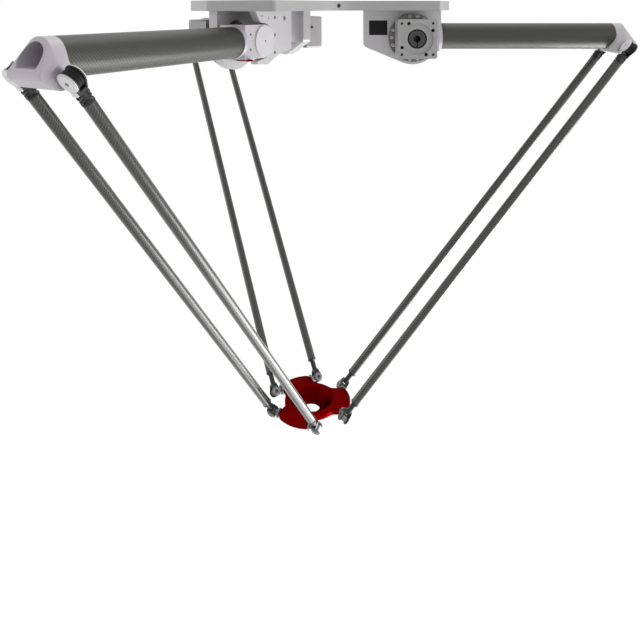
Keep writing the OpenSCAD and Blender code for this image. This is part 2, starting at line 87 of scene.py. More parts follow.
GUARD_HOLES = ((0.005, 0.0375), (-0.013, 0.034))
LABEL_X = 0.112
LABEL_Z = 0.016
GEAR_SCREW_CIRCLE = 0.0358
SEAT_SCREW_CIRCLE = 0.028
SEAT_SCREW_TURN = math.radians(29)
TOOL_SCREWS = 6
TOOL_SCREW_CIRCLE = 0.025
TOOL_SCREW_R = 0.00165
LOBE_HALF = 0.0285
LOBE_BACK = 0.008
LOBE_ARC = 0.060
DISC_R = 0.046
RIM_T = 0.013
RIM_ROUND = 0.0042
INNER_POWER = 18
OUTER_POWER = 24
DISH_R = 0.040
DISH_FLOOR = 0.019
DISH_DEEP = 0.016
BORE_R = 0.015
TOOL_R = 0.032
TOOL_FACE = -0.0145
NECK_LEN = 0.031
FLANGE_BACK = 0.058
SEAT_BACK = 0.068


# ---- Places ----


def shoulder_frame(arm):
    """Matrix from an arm's own frame to the robot's: X out along the arm, Y along the axis."""
    turn = Matrix.Rotation(AZIMUTHS[arm], 4, "Z")
    return turn @ Matrix.Translation((SHOULDER_R, 0, AXIS_Z))


def rod_frame(arm, side):
    """Matrix from a rod's frame, at its upper joint with Z up along the rod, to the robot's."""
    elbow = Matrix.Translation((ELBOW_X, SIDES[side] * ROD_HALF, -ELBOW_DROP))
    return shoulder_frame(arm) @ elbow @ Matrix.Rotation(ROD_TILT, 4, "Y")


def low_frame(arm, side):
    """The rod's frame moved to its lower joint."""
    return rod_frame(arm, side) @ Matrix.Translation((0, 0, -ROD_LEN))


def facing(x, y, z, normal):
    """Matrix to a point, with local Z along the normal."""
    turn = Vector((0, 0, 1)).rotation_difference(Vector(normal)).to_matrix().to_4x4()
    return Matrix.Translation((x, y, z)) @ turn


# ---- Surfaces ----


def moved(matrix, points):
    """Points times the matrix."""
    m = np.array(matrix)
    return points @ m[:3, :3].T + m[:3, 3]


class Shape:
    """Points and faces that several surfaces add to before they become one mesh."""

    def __init__(self):
        self.points, self.faces, self.count = [], [], 0

    def add(self, points, faces, matrix=None):
        """Adds points, moved by the matrix, and faces that count from them."""
        points = np.asarray(points, dtype=float).reshape(-1, 3)
        if matrix is not None:
            points = moved(matrix, points)
        self.points.append(points)
        self.faces.extend(tuple(int(i) + self.count for i in face) for face in faces)
        self.count += len(points)

    def loops(self, rings, matrix=None):
        """Closed skin over stacked rings, an array of rings by points by 3, with flat ends."""
        rings = np.asarray(rings, dtype=float)
        n_rings, n = rings.shape[:2]
        i = np.arange(n)
        j = (i + 1) % n
        quads = [np.stack([k * n + i, k * n + j, (k + 1) * n + j, (k + 1) * n + i], 1)
                 for k in range(n_rings - 1)]
        faces = [tuple(q) for q in np.concatenate(quads)]
        faces.append(tuple(i[::-1]))
        faces.append(tuple((n_rings - 1) * n + i))
        self.add(rings, faces, matrix)

    def lathe(self, profile, matrix=None, segments=32):
        """Solid of revolution about Z.

        The profile lists (radius, height) from the first end to the last. A third value of 1
        turns that ring into a hexagon whose flats lie at the radius: r / cos(angle to the flat).
        """
        turn = np.linspace(0, 2 * math.pi, segments, endpoint=False)
        rings = []
        for step in profile:
            radius = np.full(segments, float(step[0]))
            if len(step) > 2:
                sixth = math.pi / 3
                off = np.mod(turn + sixth / 2, sixth) - sixth / 2
                radius = radius / np.cos(off)
            rings.append(np.stack([radius * np.cos(turn), radius * np.sin(turn),
                                   np.full(segments, float(step[1]))], 1))
        self.loops(np.array(rings), matrix)

    def piece(self, name, body, slot, material, smooth=35):
        """Makes the mesh object, gives it its finish and lets it ride on its body."""
        mesh = bpy.data.meshes.new(name)
        mesh.from_pydata(np.concatenate(self.points).tolist(), [], self.faces)
        mesh.update()
        mesh.shade_smooth()
        mesh.set_sharp_from_angle(angle=math.radians(smooth))
        obj = bpy.data.objects.new(name, mesh)
        bpy.context.scene.collection.objects.link(obj)
        obj.data.materials.append(material)
        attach(obj, body)
        return obj


def socket_screw(shape, matrix, head_r, head_h, key_r):
    """Cap screw's head about Z: a chamfered cylinder with a hexagonal hole down its top."""
    chamfer = head_r * 0.12
    floor = head_h * 0.45
    shape.lathe([(head_r, 0), (head_r, head_h - chamfer), (head_r - chamfer, head_h),
                 (key_r * 1.25, head_h), (key_r, head_h - key_r * 0.15, 1), (key_r, floor, 1),
                 (key_r * 0.2, floor - key_r * 0.3)], matrix, 24)


def ring_solid(shape, matrix, inner, outer, height, round_off, segments=48):
    """Ring about Z from 0 to the height, its outer top edge rounded off.

    The section is a closed loop of (radius, height) points, turned about Z on a grid of angle by
    point: (r cos a, r sin a, h).
    """
    turn = np.linspace(0, math.pi / 2, 5)
    top = np.stack([outer - round_off * (1 - np.cos(turn)),
                    height - round_off * (1 - np.sin(turn))], 1)
    section = np.concatenate([[(inner, 0), (outer, 0)], top, [(inner, height)]])
    angle = np.linspace(0, 2 * math.pi, segments, endpoint=False)[:, None]
    grid = np.stack([section[:, 0] * np.cos(angle), section[:, 0] * np.sin(angle),
                     np.broadcast_to(section[:, 1], (segments, len(section)))], 2)
    i, j = np.meshgrid(np.arange(segments), np.arange(len(section)), indexing="ij")
    i_next, j_next = (i + 1) % segments, (j + 1) % len(section)
    n = len(section)
    quads = np.stack([i * n + j, i_next * n + j, i_next * n + j_next, i * n + j_next], 2)
    shape.add(grid, quads.reshape(-1, 4).tolist(), matrix)


def rounded_plate(shape, matrix, width, height, thick, corner, steps=6):
    """Flat plate on Z from 0 to its thickness, with corners of one radius."""
    quarter = np.linspace(0, math.pi / 2, steps)
    outline = []
    for q, (sx, sy) in enumerate(((1, 1), (-1, 1), (-1, -1), (1, -1))):
        angle = quarter + q * math.pi / 2
        outline.append(np.stack([sx * (width / 2 - corner) + corner * np.cos(angle),
                                 sy * (height / 2 - corner) + corner * np.sin(angle)], 1))
    outline = np.concatenate(outline)
    edge = thick * 0.3
    rings = []
    for grow, z in ((0, 0), (0, thick - edge), (-edge, thick)):
        scale = np.array([(width + 2 * grow) / width, (height + 2 * grow) / height])
        rings.append(np.column_stack([outline * scale, np.full(len(outline), z)]))
    shape.loops(np.array(rings), matrix)


# ---- Shader maths ----


class Socket:
    """A value in a material. Python's operators on it add Math nodes."""

    def __init__(self, graph, socket):
        self.graph, self.socket = graph, socket

    def math(self, operation, *others):
        """A Math node on this value and the others."""
        return self.graph.math(operation, self, *others)

    def __add__(self, other):
        return self.math("ADD", other)

    def __radd__(self, other):
        return self.graph.math("ADD", other, self)

    def __sub__(self, other):
        return self.math("SUBTRACT", other)

    def __rsub__(self, other):
        return self.graph.math("SUBTRACT", other, self)

    def __mul__(self, other):
        return self.math("MULTIPLY", other)

    def __rmul__(self, other):
        return self.graph.math("MULTIPLY", other, self)

    def __truediv__(self, other):
        return self.math("DIVIDE", other)

    def __pow__(self, other):
        return self.math("POWER", other)

    def __mod__(self, other):
        return self.math("FLOORED_MODULO", other)

    def __lt__(self, other):
        return self.math("LESS_THAN", other)

    def floor(self):
        return self.math("FLOOR")

    def fract(self):
        return self.math("FRACT")

    def sin(self):
        return self.math("SINE")


class Graph:
    """A material's nodes, written as expressions."""

    def __init__(self, name):
        self.material = bpy.data.materials.new(name)
        self.material.use_nodes = True
        self.tree = self.material.node_tree
        self.tree.nodes.clear()

    def node(self, kind, settings=None, **inputs):
        """Adds a node: its settings come first, then the values or links of its sockets."""
        node = self.tree.nodes.new(kind)
        for key, value in (settings or {}).items():
            setattr(node, key, value)
        for key, value in inputs.items():
            self.feed(node.inputs[key.replace("_", " ")], value)
        return node

    def feed(self, target, value):
        """Links a socket to a value in the material, or sets it to a plain one."""
        if isinstance(value, Socket):
            self.tree.links.new(value.socket, target)
        elif isinstance(value, (tuple, list)) and len(value) == 3 and target.type == "RGBA":
            target.default_value = (*value, 1.0)
        else:
            target.default_value = value

    def out(self, node, name=0):
        """A node's output as a value."""
        return Socket(self, node.outputs[name])

    def math(self, operation, *values):
        """A Math node on these values."""
        node = self.tree.nodes.new("ShaderNodeMath")
        node.operation = operation
        for target, value in zip(node.inputs, values):
            self.feed(target, value)
        return Socket(self, node.outputs[0])

    def mix(self, factor, low, high):
        """Mixes two colours."""
        node = self.tree.nodes.new("ShaderNodeMix")
        node.data_type = "RGBA"
        self.feed(node.inputs[0], factor)
        self.feed(node.inputs[6], low)
        self.feed(node.inputs[7], high)
        return Socket(self, node.outputs[2])

    def place(self, matrix=None):
        """Object coordinates, taken into the frame that the matrix leads out of."""
        coords = self.out(self.node("ShaderNodeTexCoord"), "Object")
        if matrix is None:
            return coords
        back = matrix.inverted()
        node = self.node("ShaderNodeMapping", {"vector_type": "POINT"}, Vector=coords,
                         Location=tuple(back.to_translation()),
                         Rotation=tuple(back.to_euler("XYZ")))
        return self.out(node)

    def split(self, vector):
        """A vector's three numbers."""
        node = self.node("ShaderNodeSeparateXYZ", None, Vector=vector)
        return [self.out(node, i) for i in range(3)]

    def noise(self, where, scale, detail):
        """Soft noise between 0 and 1."""
        node = self.node("ShaderNodeTexNoise", None, Vector=where, Scale=scale, Detail=detail)
        return self.out(node)

    def bump(self, height, distance, strength, normal=None):
        """Normals tilted by a height."""
        inputs = {"Height": height, "Distance": distance, "Strength": strength}
        if normal is not None:
            inputs["Normal"] = normal
        return self.out(self.node("ShaderNodeBump", None, **inputs))

    def soft_edges(self, radius):
        """Normals that roll over a sharp edge, as on a deburred part."""
        return self.out(self.node("ShaderNodeBevel", {"samples": 4}, Radius=radius))

    def finish(self, **inputs):
        """Ends the material in a Principled shader with these sockets."""
        shader = self.node("ShaderNodeBsdfPrincipled", None, **inputs)
        out = self.node("ShaderNodeOutputMaterial")
        self.tree.links.new(shader.outputs[0], out.inputs[0])
        return self.material


# ---- Finishes ----

TURNING_STEP = 0.00045
# Radius of the painted shade in the platform's dish.
DISH_SHADE_R = 0.042


def shade(colour, factor):
    """A colour made darker or lighter."""
    return tuple(min(1.0, c * factor) for c in colour)


def blasted_metal(name, colour, metallic=0.25, roughness=0.42, grain=1.0, edge=0.0007):
    """Bead-blasted aluminium: fine grain in the bump, faint clouds in colour and roughness."""
    g = Graph(name)
    where = g.place()
    cloud = g.noise(where, 14.0, 4.0)
    fine = g.noise(where, 1400.0, 2.0)
    speck = g.noise(where, 260.0, 3.0)
    tone = cloud * 0.6 + speck * 0.4
    base = g.mix(tone, shade(colour, 0.93), shade(colour, 1.05))
    rough = roughness - 0.06 + cloud * 0.08 + fine * 0.06
    normal = g.bump(fine + speck * 0.5, 0.00006 * grain, 0.5, g.soft_edges(edge))
    return g.finish(Base_Color=base, Metallic=metallic, Roughness=rough, Normal=normal)


def turned_metal(name, colour, matrix, metallic=0.85, roughness=0.3):
    """Turned metal: fine rings about the given frame's Y axis, and faint clouds."""
    g = Graph(name)
    x, _, z = g.split(g.place(matrix))
    rings = ((x * x + z * z) ** 0.5 * (2 * math.pi / TURNING_STEP)).sin()
    cloud = g.noise(g.place(), 60.0, 3.0)
    base = g.mix(cloud, shade(colour, 0.9), shade(colour, 1.08))
    rough = roughness + cloud * 0.08 + rings * 0.02
    normal = g.bump(rings + cloud, 0.00003, 0.5, g.soft_edges(0.0005))
    return g.finish(Base_Color=base, Metallic=metallic, Roughness=rough, Normal=normal)


def carbon_weave(name, matrix, radius, dark, light, along="X", roughness=0.36, bump=0.55,
                 lacquer=0.1):
    """Twill carbon cloth round a tube, under thin satin lacquer.

    The tube's surface is unrolled to cells of one tow's width. In cell (i, j) the tow along the
    tube is on top where (i + j) modulo 4 is under 2, otherwise the tow round the tube is. Each
    tow's height is 1 - (2 c)^2 across its width, where c runs from -1/2 to 1/2.
    """
    g = Graph(name)
    where = g.place(matrix)
    x, y, z = g.split(where)
    run, p, q = (x, y, z) if along == "X" else (z, x, y)
    cells = 4 * round(2 * math.pi * radius / TOW / 4)
    u = run / TOW
    v = g.math("ARCTAN2", p, q) * (cells / (2 * math.pi)) + cells
    top = ((u.floor() + v.floor()) % 4.0) < 2.0
    cross = top * (v.fract() - 0.5) + (1 - top) * (u.fract() - 0.5)
    height = 1 - 4 * cross * cross
    strands = g.noise(where, 900.0, 2.0)
    tone = top * 0.65 + height * 0.25 + strands * 0.1
    base = g.mix(tone, dark, light)
    rough = roughness + top * 0.1 - height * 0.05
    normal = g.bump(height, 0.00018, bump)
    return g.finish(Base_Color=base, Metallic=0.6, Roughness=rough, Normal=normal,
                    Specular_IOR_Level=0.25, Coat_Weight=lacquer, Coat_Roughness=0.2)


def black_anodised(name, colour=(0.018, 0.018, 0.02)):
    """Black anodised aluminium: satin, with a dusty grain and paler rubbed spots."""
    g = Graph(name)
    where = g.place()
    dust = g.noise(where, 700.0, 3.0)
    rub = g.noise(where, 90.0, 4.0)
    base = g.mix(rub ** 3.0, colour, shade(colour, 2.6))
    normal = g.bump(dust, 0.00005, 0.4, g.soft_edges(0.0005))
    return g.finish(Base_Color=base, Metallic=0.3, Roughness=0.3 + dust * 0.14, Normal=normal)


def red_anodised(name, colour):
    """Dark red anodised aluminium: metallic, glossy, with faint turning marks about Z.

    Painted shade darkens it towards Z by 1 - (radius / shade radius)^4, down to 0.42 of the
    colour, as shade in the dish would.
    """
    g = Graph(name)
    where = g.place()
    x, y, _ = g.split(where)
    radius = (x * x + y * y) ** 0.5
    rings = (radius * (2 * math.pi / 0.0005)).sin()
    cloud = g.noise(where, 40.0, 4.0)
    flat = g.mix(cloud, shade(colour, 0.8), shade(colour, 1.15))
    # Painted shade of the dish: 1 at Z, falling to 0 at the shade radius.
    dish_shade = 1 - (radius / DISH_SHADE_R) ** 4.0
    base = g.mix(dish_shade.math("MAXIMUM", 0.0), flat, shade(colour, 0.42))
    rough = 0.34 + cloud * 0.1 + rings * 0.015
    normal = g.bump(rings + cloud, 0.00003, 0.5, g.soft_edges(0.0008))
    return g.finish(Base_Color=base, Metallic=0.9, Roughness=rough, Normal=normal,
                    Specular_IOR_Level=0.05, Specular_Tint=(0.5, 0.01, 0.015, 1.0))


def plain_black(name):
    """Matt black with a faint texture, for printed film, seals, and the painted shade in grooves
    and holes.
    """
    g = Graph(name)
    where = g.place()
    grain = g.noise(where, 1500.0, 2.0)
    base = g.mix(grain, (0.004, 0.004, 0.005), (0.012, 0.012, 0.013))
    return g.finish(Base_Color=base, Metallic=0.0, Roughness=0.5 + grain * 0.1,
                    Normal=g.bump(grain, 0.00003, 0.4), Specular_IOR_Level=0.2)


# ---- Settings ----


class RobotFinish(bpy.types.PropertyGroup):
    """Colours of the robot's finishes."""

    plate: bpy.props.FloatVectorProperty(
        name="Plate", description="Colour of the base plate", subtype="COLOR", size=3,
        min=0, max=1, default=(0.46, 0.46, 0.46))
    bracket: bpy.props.FloatVectorProperty(
        name="Brackets", description="Colour of the brackets", subtype="COLOR", size=3,
        min=0, max=1, default=(0.64, 0.625, 0.64))
    seat: bpy.props.FloatVectorProperty(
        name="Motor seats", description="Colour of the motor seats", subtype="COLOR", size=3,
        min=0, max=1, default=(0.42, 0.415, 0.415))
    casting: bpy.props.FloatVectorProperty(
        name="Castings", description="Colour of arm hubs and elbows", subtype="COLOR",
        size=3, min=0, max=1, default=(0.61, 0.57, 0.61))
    cover: bpy.props.FloatVectorProperty(
        name="Hub covers", description="Colour of the hubs' round covers", subtype="COLOR",
        size=3, min=0, max=1, default=(0.70, 0.69, 0.70))
    clamp: bpy.props.FloatVectorProperty(
        name="Clamp hubs", description="Colour of the clamp hubs", subtype="COLOR", size=3,
        min=0, max=1, default=(0.055, 0.054, 0.053))
    platform: bpy.props.FloatVectorProperty(
        name="Platform", description="Colour of the tool platform", subtype="COLOR",
        size=3, min=0, max=1, default=(0.155, 0.0004, 0.0008))
    tube_dark: bpy.props.FloatVectorProperty(
        name="Tubes, dark tows", description="Colour of the arm tubes' dark tows",
        subtype="COLOR", size=3, min=0, max=1, default=(0.040, 0.041, 0.035))
    tube_light: bpy.props.FloatVectorProperty(
        name="Tubes, light tows", description="Colour of the arm tubes' light tows",
        subtype="COLOR", size=3, min=0, max=1, default=(0.085, 0.087, 0.074))
    rod_dark: bpy.props.FloatVectorProperty(
        name="Rods, dark tows", description="Colour of the rods' dark tows",
        subtype="COLOR", size=3, min=0, max=1, default=(0.020, 0.020, 0.019))
    rod_light: bpy.props.FloatVectorProperty(
        name="Rods, light tows", description="Colour of the rods' light tows",
        subtype="COLOR", size=3, min=0, max=1, default=(0.075, 0.075, 0.070))


class RobotSizes(bpy.types.PropertyGroup):
    """Sizes of the robot's small parts."""

    flange_screws: bpy.props.IntProperty(
        name="Gear screws", description="Screws round each gear flange", default=18, min=6,
        max=24)
    flange_screw_r: bpy.props.FloatProperty(
        name="Gear screw radius", description="Radius of a gear screw's head",
        subtype="DISTANCE", default=0.0027, min=0.001, max=0.004)
    label_width: bpy.props.FloatProperty(
        name="Label width", description="Width of the bare plate on one bracket",
        subtype="DISTANCE", default=0.0305, min=0.01, max=0.04)
    label_height: bpy.props.FloatProperty(
        name="Label height", description="Height of the bare plate on one bracket",
        subtype="DISTANCE", default=0.0245, min=0.01, max=0.04)


def finish():
    """The robot's colours."""
    return bpy.context.scene.robot_finish


def sizes():
    """The sizes of the small parts."""
    return bpy.context.scene.robot_sizes


def paint(node, material):
    """Gives a CAD node one material."""
    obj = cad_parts[node]
    obj.data.materials.clear()
    obj.data.materials.append(material)


# ---- Operators ----


class ROBOT_OT_base(bpy.types.Operator):
    """Finishes the base plate and its brackets, and adds their screws and the bare label"""

    bl_idname = "robot.base"
    bl_label = "Base and brackets"

    def execute(self, context):
        plate = blasted_metal("plate_metal", tuple(finish().plate), metallic=0.15,
                              roughness=0.45)
        bracket = blasted_metal("bracket_metal", tuple(finish().bracket), metallic=0.15)
        steel = blasted_metal("screw_steel", (0.42, 0.42, 0.43), metallic=0.8, roughness=0.3)
        paint("base_plate", plate)
        screws = Shape()
        for arm in AZIMUTHS:
            paint(f"bracket_{arm}", bracket)
            top = shoulder_frame(arm) @ Matrix.Translation((0, 0, -AXIS_Z - SCREW_SEAT))
            for x, y in PLATE_SCREWS:
                socket_screw(screws, top @ Matrix.Translation((x, y, 0)), 0.0065, 0.008, 0.003)
        screws.piece("plate_screws", "base", "clamp", steel)
        self.marks()
        return {"FINISHED"}

    def marks(self):
        """Bare label on bracket b, and on each bracket painted shade: a black strip for the shade
        of an engraved line and black discs for the shade in the guards' small tapped holes.
        """
        film_and_shade = plain_black("label_film_and_shade")
        where = shoulder_frame("b")
        label = Shape()
        label_place = facing(LABEL_X - SHOULDER_R, -GEAR_FACE, LABEL_Z, (0, -1, 0))
        rounded_plate(label, where @ label_place, sizes().label_width, sizes().label_height,
                      0.0004, 0.0008)
        label.piece("bare_label", "base", "fork", film_and_shade)
        # Painted shade: thin black strips and discs stand for the shade in engraved lines and
        # tapped holes.
        holes = Shape()
        for arm in AZIMUTHS:
            where = shoulder_frame(arm)
            line = facing(-0.002, -GEAR_FACE, -0.0365, (0, -1, 0))
            rounded_plate(holes, where @ line, 0.0145, 0.0009, 0.0001, 0.0004)
            for x, z in GUARD_HOLES:
                spot = facing(x, GUARD_FACE, z, (0, 1, 0))
                holes.lathe([(0.0013, 0.0), (0.0013, 0.0001), (0.0004, 0.00012)], where @ spot, 16)
        holes.piece("groove_and_hole_shades", "base", "fork", film_and_shade)


class ROBOT_OT_gears(bpy.types.Operator):
    """Finishes the gears, motor seats and clamp hubs, and adds their screws"""

    bl_idname = "robot.gears"
    bl_label = "Gears and motor seats"

    def execute(self, context):
        black = black_anodised("screw_black", (0.03, 0.03, 0.032))
        bright = blasted_metal("screw_bright", (0.50, 0.50, 0.50), metallic=0.7, roughness=0.3)
        for arm in AZIMUTHS:
            where = shoulder_frame(arm)
            gear = turned_metal(f"gear_steel_{arm}", (0.16, 0.155, 0.15), where)
            seat = turned_metal(f"seat_metal_{arm}", tuple(finish().seat), where,
                                metallic=0.2, roughness=0.4)
            clamp = turned_metal(f"clamp_steel_{arm}", tuple(finish().clamp), where,
                                 metallic=0.3, roughness=0.4)
            paint(f"gearbox_{arm}", gear)
            paint(f"output_flange_{arm}", gear)
            paint(f"motor_seat_{arm}", seat)
            paint(f"clamp_hub_{arm}", clamp)
            ring = Shape()
            count = sizes().flange_screws
            for i in range(count):
                turn = 2 * math.pi * i / count
                spot = facing(GEAR_SCREW_CIRCLE * math.cos(turn), -FLANGE_BACK,
                              GEAR_SCREW_CIRCLE * math.sin(turn), (0, -1, 0))
                socket_screw(ring, where @ spot, sizes().flange_screw_r, 0.0027, 0.0012)
            ring.piece(f"gear_screws_{arm}", "base", "gear", bright)
            dish_shade = Shape()
            for i in range(4):
                turn = SEAT_SCREW_TURN + math.pi / 2 * i
                spot = facing(SEAT_SCREW_CIRCLE * math.cos(turn), -SEAT_BACK - 0.006,
                              SEAT_SCREW_CIRCLE * math.sin(turn), (0, -1, 0))
                socket_screw(dish_shade, where @ spot, 0.0027, 0.005, 0.0013)
            dish_shade.piece(f"seat_screws_{arm}", "base", "gear", black)
        return {"FINISHED"}


class ROBOT_OT_arms(bpy.types.Operator):
    """Finishes the arms' hubs, covers, tubes and elbows, and makes their pins and stop pads"""

    bl_idname = "robot.arms"
    bl_label = "Arms"

    def execute(self, context):
        casting = blasted_metal("casting_metal", tuple(finish().casting), metallic=0.1,
                                roughness=0.4, grain=1.4, edge=0.0018)
        for arm in AZIMUTHS:
            where = shoulder_frame(arm)
            paint(f"arm_hub_{arm}", casting)
            paint(f"elbow_{arm}", casting)
            paint(f"hub_cover_{arm}", turned_metal(
                f"cover_metal_{arm}", tuple(finish().cover), where, metallic=0.15,
                roughness=0.38))
            paint(f"arm_tube_{arm}", carbon_weave(
                f"tube_weave_{arm}", where, TUBE_R, tuple(finish().tube_dark),
                tuple(finish().tube_light)))
            elbow = where @ Matrix.Translation((ELBOW_X, 0, -ELBOW_DROP))
            shaft = Shape()
            reach = ROD_HALF + 0.0060
            shaft.lathe([(PIN_R - 0.0006, 0), (PIN_R, 0.0006), (PIN_R, 2 * reach - 0.0006),
                         (PIN_R - 0.0006, 2 * reach)],
                        elbow @ facing(0, -reach, 0, (0, 1, 0)), 32)
            piece = shaft.piece(f"elbow_pin_{arm}", f"arm_{arm}", "joint", turned_metal(
                f"elbow_steel_{arm}", (0.30, 0.30, 0.30), elbow, metallic=0.8))
            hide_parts(f"elbow_shaft_{arm}")
            pad = Shape()
            spot = facing(0.040, 0.011, -HUB_R, (0, 0, -1))
            rounded_plate(pad, where @ spot, 0.024, 0.010, 0.0022, 0.0015)
            pad.piece(f"stop_pad_{arm}", f"arm_{arm}", "platform",
                      red_anodised(f"pad_red_{arm}", (0.12, 0.002, 0.004)))
        return {"FINISHED"}


class ROBOT_OT_rods(bpy.types.Operator):
    """Finishes the rods and makes the joints at both their ends"""

    bl_idname = "robot.rods"
    bl_label = "Rods and joints"

    def execute(self, context):
        black = black_anodised("fork_black")
        seal = plain_black("seal_black")
        light = blasted_metal("cross_metal", (0.88, 0.88, 0.88), metallic=0.15, roughness=0.36)
        dull = blasted_metal("lower_cross_metal", (0.24, 0.24, 0.24), metallic=0.5,
                             roughness=0.36)
        for arm in AZIMUTHS:
            for side in SIDES:
                tag = f"{arm}{side}"
                top = rod_frame(arm, side)
                low = low_frame(arm, side) @ Matrix.Rotation(math.pi, 4, "X")
                paint(f"rod_{tag}", carbon_weave(
                    f"rod_weave_{tag}", top, ROD_R, tuple(finish().rod_dark),
                    tuple(finish().rod_light), along="Z", roughness=0.3, bump=0.2, lacquer=0.7))
                self.upper(tag, top, black, seal, light)
                self.lower(tag, low, SIDES[side], black, dull)
        return {"FINISHED"}

    def upper(self, tag, place, black, seal, light):
        """Upper joint: fork, black seal between its prongs, light caps, pads and screws."""
        body = f"rods_{tag}"
        fork, drum, caps = Shape(), Shape(), Shape()
        self.fork(fork, place, TOP_FORK)
        for z, head in ((-0.0212, 0.0033), (-0.0262, 0.0025)):
            for way in (-1, 1):
                neck = place @ facing(way * 0.0036, 0, z, (way, 0, 0))
                socket_screw(fork, neck, head, 0.0036, head * 0.45)
        piece = fork.piece(f"upper_fork_{tag}", body, "fork", black)
        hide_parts(f"top_fork_{tag}")
        inner = TOP_FORK["inner"]
        drum.lathe([(SEAL_R - 0.0014, 0), (SEAL_R, 0.0010), (SEAL_R, inner - 0.0008),
                    (SEAL_R - 0.0007, inner - 0.0003), (SEAL_R - 0.0007, inner + 0.0003),
                    (SEAL_R, inner + 0.0008), (SEAL_R, 2 * inner - 0.0010),
                    (SEAL_R - 0.0014, 2 * inner)], place @ facing(-inner, 0, 0, (1, 0, 0)), 48)
        drum.piece(f"upper_seal_{tag}", body, "fork", seal)
        self.caps(caps, place, TOP_FORK["outer"], TOP_CAP)
        for way in (-1, 1):
            pad = place @ facing(way * TOP_FORK["outer"], 0, -0.0148, (way, 0, 0))
            rounded_plate(caps, pad, 0.0060, 0.0080, 0.0016, 0.0012)
        piece = caps.piece(f"upper_caps_{tag}", body, "joint", light)
        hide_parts(f"top_cross_{tag}")

    def lower(self, tag, place, side, black, light):
        """Lower joint: slim fork, and the cross with its caps, stub and disc."""
        body = f"rods_{tag}"
        fork, cross = Shape(), Shape()
        self.fork(fork, place, LOW_FORK)
        piece = fork.piece(f"lower_fork_{tag}", body, "low_joint", black)
        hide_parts(f"low_joint_{tag}")
        half = LOW_FORK["outer"]
        cross.lathe([(0.0056, 0), (0.0056, 2 * half)], place @ facing(-half, 0, 0, (1, 0, 0)), 40)
        self.caps(cross, place, half, LOW_CAP)
        stub = place @ facing(0, 0, 0, (0, side, 0))
        cross.lathe([(STUB_R, 0), (STUB_R, 0.0108), (STUB_DISC_R - 0.0008, 0.0112),
                     (STUB_DISC_R, 0.0118), (STUB_DISC_R, STUB_END - 0.0006),
                     (STUB_DISC_R - 0.0006, STUB_END)], stub, 40)
        cross.piece(f"lower_cross_{tag}", body, "joint", light)

    def fork(self, shape, place, size):
        """Fork in a frame whose Z leads away from the rod, its cross along X.

        A prong's outline is the arc (e cos a, e sin a) round its eye, closed by the neck's two
        corners, and stands as a slab between two values of X with its edges eased.
        """
        eye, half, ease = size["eye"], size["half"], 0.0003
        foot = -eye - NECK_END
        angle = np.radians(np.linspace(-28, 208, 40))
        outline = np.concatenate([np.stack([eye * np.cos(angle), eye * np.sin(angle)], 1),
                                  [(-half, foot), (half, foot)]])
        small = outline * (1 - 2 * ease / eye)
        for low, high in ((-size["outer"], -size["inner"]), (size["inner"], size["outer"])):
            rings = [np.column_stack([np.full(len(ring), x), ring]) for x, ring in
                     ((low, small), (low + ease, outline), (high - ease, outline),
                      (high, small))]
            shape.loops(np.array(rings), place)
        bridge = place @ Matrix.Translation((0, 0, foot - 0.0012))
        rounded_plate(shape, bridge, 2 * size["outer"], 2 * half, 0.0052, 0.0018)
        shape.lathe([(0.0068, -NECK_LEN - 0.0012), (0.0075, -NECK_LEN - 0.0006),
                     (0.0075, -NECK_LEN + 0.0010), (0.0068, -NECK_LEN + 0.0018),
                     (size["neck"], -NECK_LEN + 0.0040), (size["neck"], foot)], place, 40)

    def caps(self, shape, place, out, size):
        """Round cap with a centre hole, and its rim, on each side of a fork."""
        cap_r = size["cap"]
        for way in (-1, 1):
            face = place @ facing(way * out, 0, 0, (way, 0, 0))
            ring_solid(shape, face @ Matrix.Translation((0, 0, -0.0003)), cap_r + 0.0002,
                       size["rim"], 0.0011, 0.0004)
            shape.lathe([(cap_r, -0.0002), (cap_r, 0.0011), (cap_r - 0.0006, 0.0016),
                         (CAP_HOLE + 0.0006, 0.0018), (CAP_HOLE + 0.0001, 0.0016),
                         (CAP_HOLE, 0.0), (0.0002, 0.0)], face, 48)


